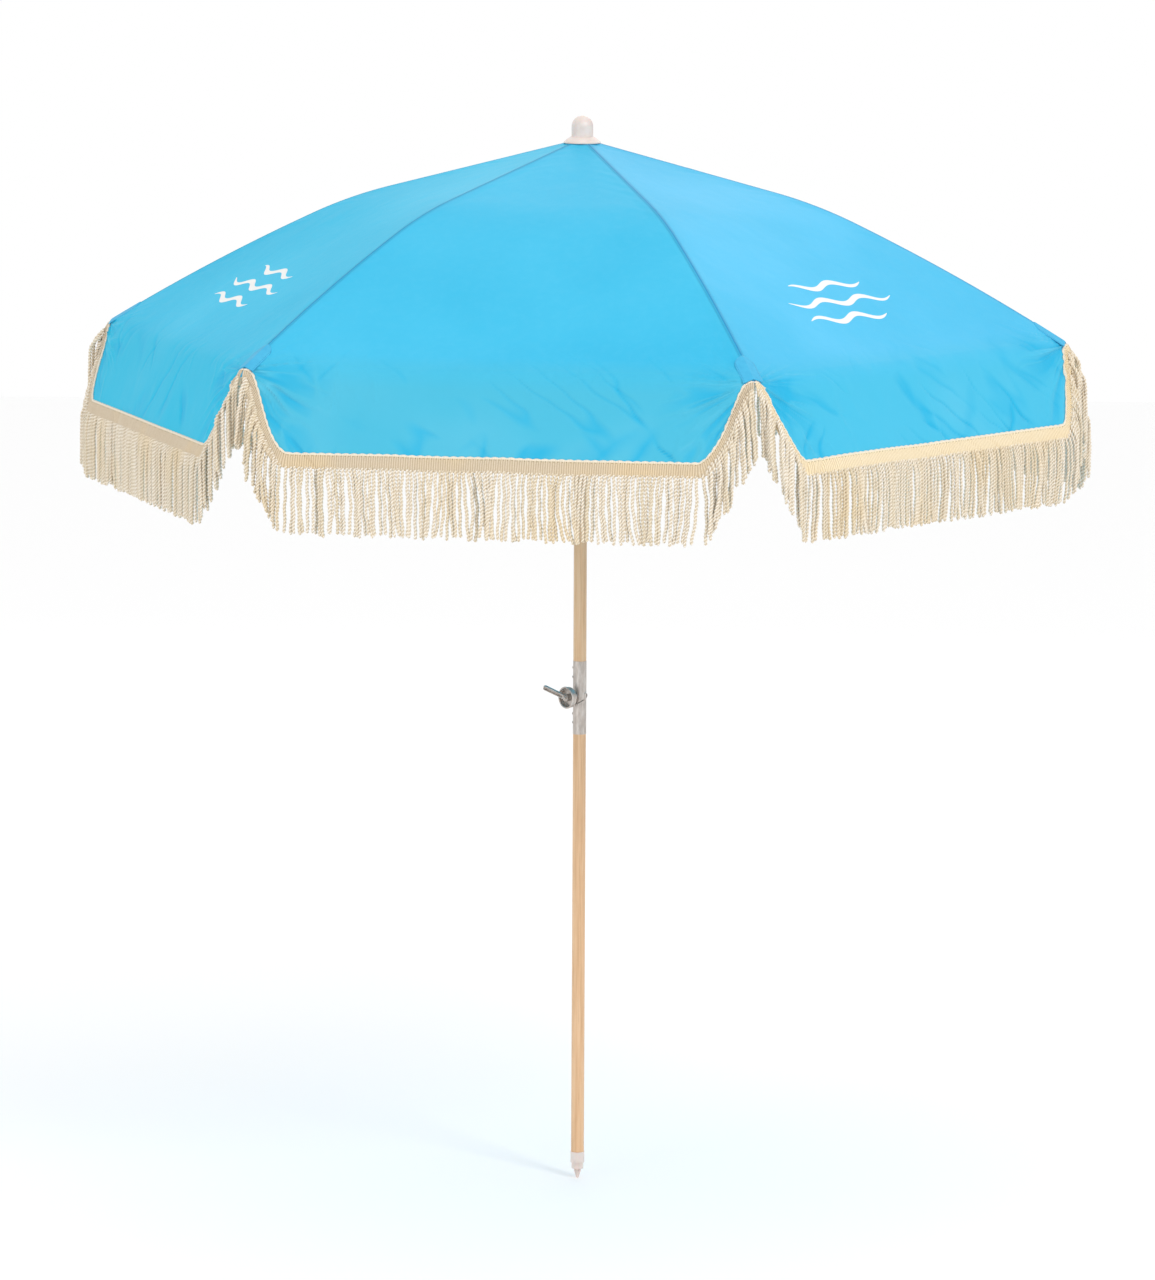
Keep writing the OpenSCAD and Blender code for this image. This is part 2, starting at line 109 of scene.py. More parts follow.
class Noise:
    """Smooth repeatable noise in two dimensions, from -1 to 1."""

    def __init__(self, seed, size=64):
        rng = np.random.RandomState(seed)
        self.grid = rng.uniform(-1, 1, (size, size))
        self.size = size

    def __call__(self, x, y):
        xi = np.floor(x).astype(int)
        yi = np.floor(y).astype(int)
        fx = smooth(x - xi)
        fy = smooth(y - yi)
        n = self.size
        g = self.grid
        low = g[xi % n, yi % n] * (1 - fx) + g[(xi + 1) % n, yi % n] * fx
        high = g[xi % n, (yi + 1) % n] * (1 - fx) + g[(xi + 1) % n, (yi + 1) % n] * fx
        return low * (1 - fy) + high * fy


def make_mesh(name, points, quads, uvs, normals=None):
    """A smooth mesh object from arrays of points and quads, with a UV pair for each point."""
    points = np.asarray(points).reshape(-1, 3)
    quads = np.asarray(quads).reshape(-1, 4)
    corner = points[quads]
    face = np.cross(corner[:, 2] - corner[:, 0], corner[:, 3] - corner[:, 1])
    if normals is None:
        outward = (face * (corner.mean(1) - points.mean(0))).sum() > 0
    else:
        normals = np.asarray(normals).reshape(-1, 3)
        outward = (face * normals[quads[:, 0]]).sum() > 0
    if not outward:
        quads = quads[:, ::-1]
    mesh = bpy.data.meshes.new(name)
    mesh.vertices.add(len(points))
    mesh.vertices.foreach_set("co", points.astype(np.float32).ravel())
    mesh.loops.add(quads.size)
    mesh.loops.foreach_set("vertex_index", quads.astype(np.int32).ravel())
    mesh.polygons.add(len(quads))
    mesh.polygons.foreach_set("loop_start", np.arange(0, quads.size, 4, dtype=np.int32))
    mesh.update(calc_edges=True)
    for key, values in uvs.items():
        layer = mesh.uv_layers.new(name=key)
        picked = np.asarray(values).reshape(-1, 2)[quads.ravel()]
        layer.data.foreach_set("uv", picked.astype(np.float32).ravel())
    mesh.polygons.foreach_set("use_smooth", np.ones(len(quads), dtype=bool))
    mesh.validate()
    if normals is not None:
        mesh.normals_split_custom_set_from_vertices(normals.astype(np.float32))
    obj = bpy.data.objects.new(name, mesh)
    bpy.context.scene.collection.objects.link(obj)
    return obj


def grid_quads(rows, cols, start=0):
    """Quads of a grid of points numbered row by row."""
    r, c = np.meshgrid(np.arange(rows - 1), np.arange(cols - 1), indexing="ij")
    a = start + r * cols + c
    return np.stack([a, a + 1, a + cols + 1, a + cols], axis=-1).reshape(-1, 4)


def shell(name, top, low, uvs):
    """A closed sheet between two grids of points of one shape."""
    rows, cols = top.shape[:2]
    n = rows * cols
    ring = np.concatenate([
        np.arange(cols),
        np.arange(1, rows) * cols + cols - 1,
        (rows - 1) * cols + np.arange(cols - 2, -1, -1),
        np.arange(rows - 2, 0, -1) * cols,
    ])
    after = np.roll(ring, -1)
    side = np.stack([after, ring, ring + n, after + n], axis=-1)
    quads = np.concatenate([grid_quads(rows, cols), grid_quads(rows, cols, n)[:, ::-1], side])
    points = np.concatenate([top.reshape(-1, 3), low.reshape(-1, 3)])
    double = {key: np.concatenate([v.reshape(-1, 2), v.reshape(-1, 2)]) for key, v in uvs.items()}
    return make_mesh(name, points, quads, double)


# ---------- the cloth's shape ----------

def slope_at(r):
    tight = np.arcsin(np.clip(math.sin(INNER_SLOPE) + (r - BEND_START) / TIGHT_R, -1, 1))
    long = np.arcsin(np.clip(math.sin(OUTER_SLOPE) + (r - BEND_END) / LONG_R, -1, 1))
    return np.where(r < BEND_START, INNER_SLOPE, np.where(r < BEND_END, tight, long))


def cloth_z(r):
    """Height of the cloth over a rib, as in the CAD model."""
    straight = CROWN_Z - (np.minimum(r, BEND_START) - PIVOT_R) * math.tan(INNER_SLOPE)
    mid = np.clip(r, BEND_START, BEND_END)
    tight = TIGHT_R * (math.cos(INNER_SLOPE) - np.cos(slope_at(np.minimum(mid, BEND_END - 1e-6))))
    far = np.maximum(r, BEND_END)
    long = LONG_R * (math.cos(OUTER_SLOPE) - np.cos(slope_at(far)))
    return straight - tight - long


class Profile:
    """The gore's section at its middle: out along the dome, round the fold, down the valance.

    It is measured by s, the distance along the cloth from the fold, and s is negative on the dome."""

    def __init__(self):
        fold_points = 60
        r = np.linspace(CLOTH_HOLE_R, CANOPY_R, 1600)
        dome = np.stack([r * math.cos(HALF_TURN), cloth_z(r)], axis=-1)
        down = np.array([math.sin(FLARE), -math.cos(FLARE)])
        end = dome[-1]
        into = dome[-1] - dome[-2]
        into = into / np.linalg.norm(into)
        turn = math.acos(float(np.clip(into @ down, -1, 1)))
        back = FOLD_R * math.tan(turn / 2)
        start_angle = math.atan2(into[1], into[0])
        centre = end - into * back + FOLD_R * np.array([into[1], -into[0]])
        angles = np.linspace(start_angle, start_angle - turn, fold_points) + math.pi / 2
        fold = centre + FOLD_R * np.stack([np.cos(angles), np.sin(angles)], axis=-1)
        keep = (dome - end) @ into < -back - 1e-4
        drop = np.linspace(back, VALANCE_LEN + BELOW_HEM, 300)[1:, None]
        points = np.concatenate([dome[keep], fold, end + down * drop])
        step = np.linalg.norm(np.diff(points, axis=0), axis=1)
        s = np.concatenate([[0], np.cumsum(step)])
        middle = int(keep.sum()) + fold_points // 2
        self.s = s - s[middle]
        self.points = points
        tangent = np.gradient(points, self.s, axis=0)
        tangent /= np.linalg.norm(tangent, axis=1)[:, None]
        self.normals = np.stack([-tangent[:, 1], tangent[:, 0]], axis=-1)
        self.start = float(self.s[0])

    def at(self, s):
        """Distance out, height and outward normal at s."""
        y = np.interp(s, self.s, self.points[:, 0])
        z = np.interp(s, self.s, self.points[:, 1])
        ny = np.interp(s, self.s, self.normals[:, 0])
        nz = np.interp(s, self.s, self.normals[:, 1])
        return y, z, ny, nz


PROFILE = Profile()
WRINKLES = [Noise(seed) for seed in range(11, 21)]


def ridged(value, sharp=2.6):
    """Noise turned into narrow ridges, from 0 to 1."""
    return np.clip(1 - sharp * np.abs(value), 0, 1) ** 1.5


def notch_x(s):
    """The notch's half width at s below the fold."""
    d = np.clip((s - NOTCH_TOP) / (VALANCE_LEN - NOTCH_TOP), 0, 1)
    return NOTCH_ROUND * d ** 0.34 + NOTCH_SWEEP * (1 - np.sqrt(1 - d ** 2))


def creases(gore, x, s):
    """Creases that fan from the rib tips, pucker the hem's corners and slant over the valance."""
    n4, n5, n6, n7, n8 = WRINKLES[3:8]
    g = 17.3 * gore
    out = 0.0
    for side in (-1, 1):
        dx = RIM_HALF - side * x
        # fans from the rib tips
        reach = np.hypot(dx, s) + 1e-6
        angle = np.arctan2(s, dx)
        wander = 0.35 * n4(reach / 0.06 + g, angle * 2 + side)
        fan = n5(angle * 5 + wander + 3.1 * side + g, reach / 0.15 + g)
        thin = n5(angle * 9 + 2 * wander + 8.3 * side + g, reach / 0.10 + g)
        near = smooth(reach / 0.03) * (1 - smooth((reach - 0.04) / 0.17))
        deep = 0.12 + 0.88 * smooth((s + 0.05) / 0.09)
        out = out + deep * near * (1.1 * ridged(fan, 2.2) + 0.40 * ridged(thin, 2.6) - 0.50)
        # small puckers round the hem's corners
        cx, cs = dx - NOTCH_W, s - VALANCE_LEN
        close = 1 - smooth((np.hypot(cx, cs) - 0.012) / 0.065)
        slant = cx * 0.9 - cs * 0.45
        out = out + 0.7 * close * (ridged(n6(slant / 0.022 + g + side, cs / 0.07 + g), 2.4) - 0.3)
    # slanting creases over the valance, and a few short ones above the fold
    over = smooth((s + 0.10) / 0.12) * (0.45 + 0.55 * np.clip(s / VALANCE_LEN, 0, 1))
    kinds = ((0.75, 0.0, -0.62), (-0.60, 4.7, -0.50), (0.15, 9.1, 0.34), (1.3, 13.9, -0.45))
    for slant, step, depth in kinds:
        patch = smooth(1.6 * n7(x / 0.10 + g + step, s / 0.09 + g) + 0.12)
        lean = x + slant * s + 0.010 * n4(s / 0.03 + step, x / 0.05 + g)
        out = out + depth * patch * over * ridged(n8(lean / 0.055 + g + step, s / 0.30 + g), 3.8)
    return out


def relief(gore, x, s):
    """How far the cloth stands out from the plain profile, x along the rim from the gore's middle."""
    y = PROFILE.at(s)[0]
    half = np.where(s < 0, y * math.tan(HALF_TURN), RIM_HALF)
    to_seam = np.clip(half - np.abs(x), 0, None)
    free = smooth((to_seam + np.clip(s, 0, None)) / 0.026)
    n1, n2, n3 = WRINKLES[:3]
    n9, n10 = WRINKLES[8:]
    g = 17.3 * gore
    # the dome sags between its ribs, more towards the rim
    across = np.clip(1 - (x / np.maximum(half, 1e-4)) ** 2, 0, 1)
    out = -0.006 * across * smooth((s - PROFILE.start) / 0.5) * (1 - smooth((s + 0.10) / 0.13))
    # slow waves and fine crumples
    out = out + 0.0014 * n1(x / 0.17 + g, s / 0.21 + g)
    out = out + 0.00045 * n2(x / 0.045 + g, s / 0.060) + 0.00018 * n3(x / 0.017, s / 0.023 + g)
    # a broken line of dents along the fold
    out = out - 0.0012 * np.exp(-(s / 0.014) ** 2) * ridged(n2(x / 0.06 + g, g))
    # pucker along the seams
    seam = np.exp(-to_seam / 0.024) * (1 - smooth((s + 0.02) / 0.03))
    out = out + 0.0011 * seam * n9(s / 0.020 + 0.8 * to_seam / 0.02 + 5 * np.sign(x), g)
    # the hanging part sways
    hang = np.clip(s / VALANCE_LEN, 0, 1.5)
    out = out + 0.0070 * hang ** 1.3 * n10(x / 0.105 + g, 0.4 * hang + g)
    return (out + 0.0046 * creases(gore, x, s)) * free


def gore_frame(gore):
    """Unit vectors along the rim and outwards, for the gore between rib gore and the next."""
    middle = FIRST_RIB + HALF_TURN * (2 * gore + 1)
    outward = np.array([math.cos(middle), math.sin(middle), 0.0])
    along = np.array([math.sin(middle), -math.cos(middle), 0.0])
    return along, outward


def cloth_point(gore, x, s, lift=0.0):
    """A point of the gore's cloth, or lift above it. x is from the middle towards the earlier rib."""
    y, z, ny, nz = PROFILE.at(s)
    rise = relief(gore, x, s) + lift
    along, outward = gore_frame(gore)
    out = (y + ny * rise)[..., None] * outward + x[..., None] * along
    out[..., 2] += z + nz * rise
    return out


# ---------- materials ----------

def new_material(name):
    mat = bpy.data.materials.new(name)
    mat.use_nodes = True
    tree = mat.node_tree
    return mat, tree, tree.nodes["Principled BSDF"]


def node(tree, kind, **inputs):
    made = tree.nodes.new(kind)
    for key, value in inputs.items():
        made.inputs[key.replace("_", " ")].default_value = value
    return made


def link(tree, a, b):
    tree.links.new(a, b)


def colour(hex_code):
    """Linear colour from a web colour."""
    parts = [int(hex_code[i:i + 2], 16) / 255 for i in (1, 3, 5)]
    linear = [c / 12.92 if c <= 0.04045 else ((c + 0.055) / 1.055) ** 2.4 for c in parts]
    return (*linear, 1.0)


def coords(tree, scale=(1, 1, 1)):
    """Object coordinates, scaled."""
    place = tree.nodes.new("ShaderNodeTexCoord")
    mapping = tree.nodes.new("ShaderNodeMapping")
    mapping.inputs["Scale"].default_value = scale
    link(tree, place.outputs["Object"], mapping.inputs["Vector"])
    return mapping.outputs["Vector"]


def noise(tree, vector, scale, detail=4.0, rough=0.55):
    made = tree.nodes.new("ShaderNodeTexNoise")
    made.inputs["Scale"].default_value = scale
    made.inputs["Detail"].default_value = detail
    made.inputs["Roughness"].default_value = rough
    link(tree, vector, made.inputs["Vector"])
    return made.outputs["Fac"]


def ramp(tree, value, stops):
    """A colour ramp with stops of (position, web colour)."""
    made = tree.nodes.new("ShaderNodeValToRGB")
    band = made.color_ramp
    while len(band.elements) < len(stops):
        band.elements.new(0.5)
    for element, (position, code) in zip(band.elements, stops):
        element.position = position
        element.color = colour(code)
    link(tree, value, made.inputs["Fac"])
    return made.outputs["Color"]


def math_node(tree, operation, a, b=None, clamp=False, c=None):
    """A math node whose operands are numbers or sockets."""
    made = tree.nodes.new("ShaderNodeMath")
    made.operation = operation
    made.use_clamp = clamp
    for k, value in enumerate((a, b, c)):
        if value is None:
            continue
        if isinstance(value, (int, float)):
            made.inputs[k].default_value = value
        else:
            link(tree, value, made.inputs[k])
    return made.outputs[0]


def between(tree, value, low, high):
    """A value's place between two limits, from 0 to 1."""
    made = tree.nodes.new("ShaderNodeMapRange")
    made.inputs["From Min"].default_value = low
    made.inputs["From Max"].default_value = high
    link(tree, value, made.inputs["Value"])
    return made.outputs["Result"]


def blend_colour(tree, factor, a, b):
    """Mix two colours, each a socket or a colour, by a factor socket."""
    made = tree.nodes.new("ShaderNodeMix")
    made.data_type = "RGBA"
    link(tree, factor, made.inputs["Factor"])
    for key, value in (("A", a), ("B", b)):
        socket = [i for i in made.inputs if i.name == key and i.type == "RGBA"][0]
        if isinstance(value, tuple):
            socket.default_value = value
        else:
            link(tree, value, socket)
    return [o for o in made.outputs if o.type == "RGBA"][0]


def bump(tree, shader, height, distance, strength=1.0, under=None):
    """Bump a shader, on top of another bump if there is one."""
    made = tree.nodes.new("ShaderNodeBump")
    made.inputs["Distance"].default_value = distance
    made.inputs["Strength"].default_value = strength
    link(tree, height, made.inputs["Height"])
    if under is not None:
        link(tree, under, made.inputs["Normal"])
    link(tree, made.outputs["Normal"], shader.inputs["Normal"])
    return made.outputs["Normal"]


def uv(tree, name):
    """The two values of a named UV layer."""
    source = tree.nodes.new("ShaderNodeUVMap")
    source.uv_map = name
    split = tree.nodes.new("ShaderNodeSeparateXYZ")
    link(tree, source.outputs["UV"], split.inputs["Vector"])
    return split.outputs["X"], split.outputs["Y"], source.outputs["UV"]


def wood_material():
    mat, tree, shader = new_material("wood")
    vector = coords(tree, (1.0, 1.0, 0.035))
    rings = noise(tree, vector, 150, 5.0, 0.6)
    pores = noise(tree, coords(tree, (1.0, 1.0, 0.012)), 900, 2.0, 0.5)
    slow = noise(tree, coords(tree, (1.0, 1.0, 0.10)), 14, 2.0, 0.5)
    base = ramp(tree, rings, [(0.28, "#C4986E"), (0.48, "#D8AE84"), (0.62, "#E2BC95"), (0.8, "#CEA57C")])
    tint = blend_colour(tree, between(tree, slow, 0.35, 0.75), base, colour("#D8AC82"))
    dark = blend_colour(tree, between(tree, pores, 0.62, 0.78), tint, colour("#A67A54"))
    link(tree, dark, shader.inputs["Base Color"])
    link(tree, math_node(tree, "MULTIPLY_ADD", rings, 0.18, c=0.34), shader.inputs["Roughness"])
    shader.inputs["Coat Weight"].default_value = 0.18
    shader.inputs["Coat Roughness"].default_value = 0.22
    bump(tree, shader, pores, 0.0002, 0.35)
    return mat


def steel_material():
    mat, tree, shader = new_material("steel")
    patch = noise(tree, coords(tree, (1.0, 1.0, 0.25)), 160, 4.0, 0.6)
    fine = noise(tree, coords(tree), 1400, 2.0, 0.5)
    base = ramp(tree, patch, [(0.3, "#A69C94"), (0.5, "#BCB2AA"), (0.7, "#D0C8C1")])
    link(tree, base, shader.inputs["Base Color"])
    shader.inputs["Metallic"].default_value = 0.62
    link(tree, math_node(tree, "MULTIPLY_ADD", patch, 0.20, c=0.24), shader.inputs["Roughness"])
    bump(tree, shader, fine, 0.00005, 0.25)
    return mat


def plastic_material():
    mat, tree, shader = new_material("plastic")
    vector = coords(tree)
    cloudy = noise(tree, vector, 45, 3.0, 0.5)
    grain = noise(tree, vector, 1500, 2.0, 0.5)
    base = ramp(tree, cloudy, [(0.3, "#D3C2BA"), (0.55, "#DCCEC7"), (0.8, "#E3D8D3")])
    link(tree, base, shader.inputs["Base Color"])
    link(tree, math_node(tree, "MULTIPLY_ADD", cloudy, 0.16, c=0.26), shader.inputs["Roughness"])
    shader.inputs["Subsurface Weight"].default_value = 0.12
    shader.inputs["Subsurface Scale"].default_value = 0.004
    bump(tree, shader, grain, 0.00004, 0.3)
    return mat


def weave(tree, shader, across, along, pitch, under=None):
    """Fine plain weave from two sets of threads."""
    turn = 2 * math.pi / pitch
    warp = math_node(tree, "SINE", math_node(tree, "MULTIPLY", across, turn))
    weft = math_node(tree, "SINE", math_node(tree, "MULTIPLY", along, turn))
    return bump(tree, shader, math_node(tree, "MULTIPLY", warp, weft), 0.00005, 0.35, under)


def wave_print(tree, x, s):
    """A mask of three plain wavy strokes, set between the fold and the middle of the gore."""
    wave_len, wave_high = 0.110, 0.0085
    middle_half, end_loss = 0.0072, 0.0062
    total = None
    for row, start, length in ((-0.240, -0.090, 0.200), (-0.192, -0.130, 0.290), (-0.144, -0.070, 0.220)):
        phase = math_node(tree, "MULTIPLY", math_node(tree, "SUBTRACT", x, start), 2 * math.pi / wave_len)
        line = math_node(tree, "MULTIPLY_ADD", math_node(tree, "SINE", phase), wave_high, c=row)
        gap = math_node(tree, "ABSOLUTE", math_node(tree, "SUBTRACT", s, line))
        from_middle = math_node(tree, "ABSOLUTE", math_node(tree, "SUBTRACT", x, start + length / 2))
        share = math_node(tree, "POWER", math_node(tree, "DIVIDE", from_middle, length / 2), 3.0)
        thick = math_node(tree, "MULTIPLY_ADD", share, -end_loss, c=middle_half)
        stroke = math_node(tree, "MULTIPLY", math_node(tree, "SUBTRACT", thick, gap), 1500, True)
        inside = math_node(tree, "LESS_THAN", from_middle, length / 2)
        mask = math_node(tree, "MULTIPLY", stroke, inside, True)
        total = mask if total is None else math_node(tree, "MAXIMUM", total, mask)
    return total


def cloth_material(name, printed=False, codes=("#38B5DC", "#3FB9DF", "#47BDE2", "#4CB4CF")):
    """Thin nylon: slightly shiny, lit through a little, with sewn seams along the ribs."""
    mat, tree, shader = new_material(name)
    x, s, _ = uv(tree, "cloth")
    from_seam, crease, _ = uv(tree, "edges")
    vector = coords(tree)
    slow = noise(tree, vector, 3.0, 2.0, 0.5)
    fine = noise(tree, vector, 60, 4.0, 0.6)
    base = ramp(tree, slow, [(0.30, codes[0]), (0.5, codes[1]), (0.70, codes[2])])
    mottled = blend_colour(tree, math_node(tree, "MULTIPLY", between(tree, fine, 0.45, 0.8), 0.10),
                           base, colour("#6ACBEA"))
    # the valance is a touch greener
    low = blend_colour(tree, math_node(tree, "MULTIPLY", between(tree, s, -0.05, 0.03), 0.80),
                       mottled, colour(codes[3]))
    # painted light: pale greyish patches over the valance, where the slow noise is high
    painted_pale_patches = math_node(tree, "MULTIPLY", between(tree, slow, 0.50, 0.72), between(tree, s, -0.02, 0.10))
    low = blend_colour(tree, math_node(tree, "MULTIPLY", painted_pale_patches, 0.35), low, colour("#72C3DB"))
    # painted shade: the cloth is a deeper cyan in the hollows of its creases
    painted_crease_shade = math_node(tree, "MULTIPLY", between(tree, crease, -0.04, -0.42), 0.62)
    creased = blend_colour(tree, painted_crease_shade, low, colour("#00A9D6"))
    # painted highlight: the ridges of the creases are lighter
    painted_crease_highlight = math_node(tree, "MULTIPLY", between(tree, crease, 0.18, 0.80), 0.25)
    lit = blend_colour(tree, painted_crease_highlight, creased, colour("#86D3E8"))
    # the doubled cloth of the seam is darker, with a dark line where the gores meet
    doubled = between(tree, from_seam, 0.0058, 0.0050)
    joint = between(tree, from_seam, 0.0024, 0.0010)
    seam = blend_colour(tree, math_node(tree, "MULTIPLY", doubled, 0.10), lit, colour("#2A93C4"))
    line = blend_colour(tree, math_node(tree, "MULTIPLY", joint, 0.60), seam, colour("#0074B4"))
    # two rows of stitches
    dash = math_node(tree, "GREATER_THAN",
                     math_node(tree, "SINE", math_node(tree, "MULTIPLY", s, 2 * math.pi / 0.0042)), -0.35)
    off = math_node(tree, "ABSOLUTE", math_node(tree, "SUBTRACT", from_seam, 0.0043))
    stitch = math_node(tree, "MULTIPLY", dash, math_node(tree, "LESS_THAN", off, 0.0005))
    out = blend_colour(tree, math_node(tree, "MULTIPLY", stitch, 0.35), line, colour("#1A7FB8"))
    if printed:
        out = blend_colour(tree, wave_print(tree, x, s), out, colour("#EDEBE8"))
    link(tree, out, shader.inputs["Base Color"])
    shader.inputs["Roughness"].default_value = 0.46
    shader.inputs["Specular IOR Level"].default_value = 0.16
    crumple = bump(tree, shader, noise(tree, vector, 38, 5.0, 0.6), 0.0016, 0.30)
    sewing = math_node(tree, "SUBTRACT", doubled, stitch)
    raised = bump(tree, shader, sewing, 0.0006, 0.8, crumple)
    weave(tree, shader, x, s, 0.0011, raised)
    through = tree.nodes.new("ShaderNodeBsdfTranslucent")
    link(tree, out, through.inputs["Color"])
    mix = tree.nodes.new("ShaderNodeMixShader")
    mix.inputs["Fac"].default_value = 0.18
    link(tree, shader.outputs["BSDF"], mix.inputs[1])
    link(tree, through.outputs["BSDF"], mix.inputs[2])
    link(tree, mix.outputs["Shader"], tree.nodes["Material Output"].inputs["Surface"])
    return mat


def tape_material(name, codes, half_w):
    """A sewn strip or patch of the same nylon, stitched near its edges."""
    mat, tree, shader = new_material(name)
    x, s, _ = uv(tree, "cloth")
    cloudy = noise(tree, coords(tree), 90, 3.0, 0.5)
    base = ramp(tree, cloudy, [(0.3, codes[0]), (0.7, codes[1])])
    side = math_node(tree, "ABSOLUTE", x)
    edge = math_node(tree, "LESS_THAN",
                     math_node(tree, "ABSOLUTE", math_node(tree, "SUBTRACT", side, half_w - 0.002)), 0.0006)
    dash = math_node(tree, "GREATER_THAN",
                     math_node(tree, "SINE", math_node(tree, "MULTIPLY", s, 2 * math.pi / 0.004)), -0.3)
    sewn = blend_colour(tree, math_node(tree, "MULTIPLY", math_node(tree, "MULTIPLY", dash, edge), 0.5),
                        base, colour("#1B74A4"))
    link(tree, sewn, shader.inputs["Base Color"])
    shader.inputs["Roughness"].default_value = 0.55
    shader.inputs["Specular IOR Level"].default_value = 0.35
    weave(tree, shader, x, s, 0.0014)
    return mat


def cotton_material():
    """Natural cotton yarn with painted shade in the grooves between its strands; its UVs hold a tint for
    each tassel, and 1 on the tops of its strands.
    """
    mat, tree, shader = new_material("cotton")
    tint, strand, _ = uv(tree, "cloth")
    vector = coords(tree)
    fibre = noise(tree, vector, 900, 3.0, 0.6)
    warm = noise(tree, vector, 7.0, 2.0, 0.5)
    base = ramp(tree, tint, [(0.0, "#E7DDC9"), (0.35, "#EFE7D9"), (0.7, "#F5EFE5"), (1.0, "#EBE1CF")])
    aged = blend_colour(tree, math_node(tree, "MULTIPLY", between(tree, warm, 0.52, 0.74), 0.45),
                        base, colour("#EBD2A4"))
    shaded = blend_colour(tree, math_node(tree, "MULTIPLY", between(tree, fibre, 0.55, 0.30), 0.5),
                          aged, colour("#C3AD88"))
    # painted shade: darker between the strands of each cord
    painted_groove_shade = blend_colour(tree, math_node(tree, "MULTIPLY", between(tree, strand, 0.70, 0.10), 0.85),
                          shaded, colour("#B5A07C"))
    link(tree, painted_groove_shade, shader.inputs["Base Color"])
    shader.inputs["Roughness"].default_value = 0.85
    shader.inputs["Sheen Weight"].default_value = 0.12
    shader.inputs["Sheen Roughness"].default_value = 0.6
    bump(tree, shader, fibre, 0.0005, 0.6)
    return mat


def braid_material(name, codes):
    """The woven heading of the fringe, with a looped white edge, dark stitch dots and painted shade between
    its woven ridges.
    """
    mat, tree, shader = new_material(name)
    along, across, _ = uv(tree, "cloth")
    vector = coords(tree)
    fibre = noise(tree, vector, 800, 3.0, 0.6)
    warm = noise(tree, vector, 6.0, 2.0, 0.5)
    rib = math_node(tree, "COSINE", math_node(tree, "MULTIPLY", along, 2 * math.pi / BRAID_RIB))
    base = ramp(tree, fibre, [(0.3, codes[0]), (0.5, codes[1]), (0.7, codes[2])])
    aged = blend_colour(tree, math_node(tree, "MULTIPLY", between(tree, warm, 0.50, 0.72), 0.5),
                        base, colour("#E7C993"))
    # painted shade: darker in the grooves between the woven ridges
    painted_groove_shade = math_node(tree, "MULTIPLY", between(tree, rib, 0.1, -0.9), 0.65)
    ribbed = blend_colour(tree, painted_groove_shade, aged, colour(codes[3]))
    # the looped edge along the top
    edge = between(tree, across, 0.0032, 0.0024)
    white = blend_colour(tree, edge, ribbed, colour("#E6DBC7"))
    dot_x = math_node(tree, "ABSOLUTE", math_node(tree, "SUBTRACT", math_node(
        tree, "MODULO", math_node(tree, "ADD", along, 10.0), BRAID_LOOP), BRAID_LOOP / 2))
    dot_y = math_node(tree, "ABSOLUTE", math_node(tree, "SUBTRACT", across, 0.0044))
    dot = math_node(tree, "MULTIPLY", math_node(tree, "LESS_THAN", dot_x, 0.0009),
                    math_node(tree, "LESS_THAN", dot_y, 0.0007))
    dotted = blend_colour(tree, math_node(tree, "MULTIPLY", dot, 0.7), white, colour("#6E5C40"))
    link(tree, dotted, shader.inputs["Base Color"])
    shader.inputs["Roughness"].default_value = 0.85
    shader.inputs["Sheen Weight"].default_value = 0.25
    first = bump(tree, shader, rib, 0.0006, 0.5)
    bump(tree, shader, fibre, 0.0004, 0.5, first)
    return mat


# ---------- camera, light and floor ----------

def add_camera():
    data = bpy.data.cameras.new("camera")
    data.lens = LENS
    data.sensor_width = SENSOR
    data.sensor_fit = "HORIZONTAL"
    data.clip_end = 60
    data.shift_x = CAMERA_SHIFT
    cam = bpy.data.objects.new("camera", data)
    cam.location = CAMERA_PLACE
    cam.rotation_euler = (math.radians(90 - CAMERA_TILT), math.radians(CAMERA_ROLL), 0.0)
    bpy.context.scene.collection.objects.link(cam)
    bpy.context.scene.camera = cam


def add_light(name, place, target, size, power):
    data = bpy.data.lights.new(name, "AREA")
    data.shape = "RECTANGLE"
    data.size, data.size_y = size
    data.energy = power
    lamp = bpy.data.objects.new(name, data)
    lamp.location = place
    aim = np.array(target) - np.array(place)
    flat = math.hypot(aim[0], aim[1])
    lamp.rotation_euler = (math.atan2(flat, -aim[2]), 0.0, math.atan2(-aim[0], aim[1]))
    bpy.context.scene.collection.objects.link(lamp)


def add_stage():
    points = [(-FLOOR_HALF, -FLOOR_HALF, 0), (FLOOR_HALF, -FLOOR_HALF, 0),
              (FLOOR_HALF, FLOOR_HALF, 0), (-FLOOR_HALF, FLOOR_HALF, 0)]
    mesh = bpy.data.meshes.new("floor")
    mesh.from_pydata(points, [], [(0, 1, 2, 3)])
    floor = bpy.data.objects.new("floor", mesh)
    bpy.context.scene.collection.objects.link(floor)
    mat, _, shader = new_material("floor")
    shader.inputs["Base Color"].default_value = (0.97, 0.97, 0.97, 1)
    shader.inputs["Roughness"].default_value = 0.9
    mesh.materials.append(mat)
    world = bpy.data.worlds.new("studio")
    world.use_nodes = True
    world.node_tree.nodes["Background"].inputs["Color"].default_value = (1.0, 1.0, 1.0, 1)
    world.node_tree.nodes["Background"].inputs["Strength"].default_value = 1.0
    bpy.context.scene.world = world
    add_light("key", (3.6, -4.6, 5.4), (0, 0, 1.7), (1.6, 1.6), 130)
    add_light("fill", (-4.5, -5.0, 2.2), (0, 0, 1.5), (2.5, 2.5), 50)
    add_light("back", (0.5, 5.0, 4.5), (0, 0, 1.6), (4.0, 2.0), 25)
    bpy.context.scene.view_settings.view_transform = "Standard"


# ---------- cloth pieces ----------

COLS = 104
DOME_ROWS = 210
DROP_ROWS = 64


def column_shares():
    """Shares from the rib to the middle of the gore, closer together near the rib."""
    return np.linspace(0, 1, COLS) ** 1.2


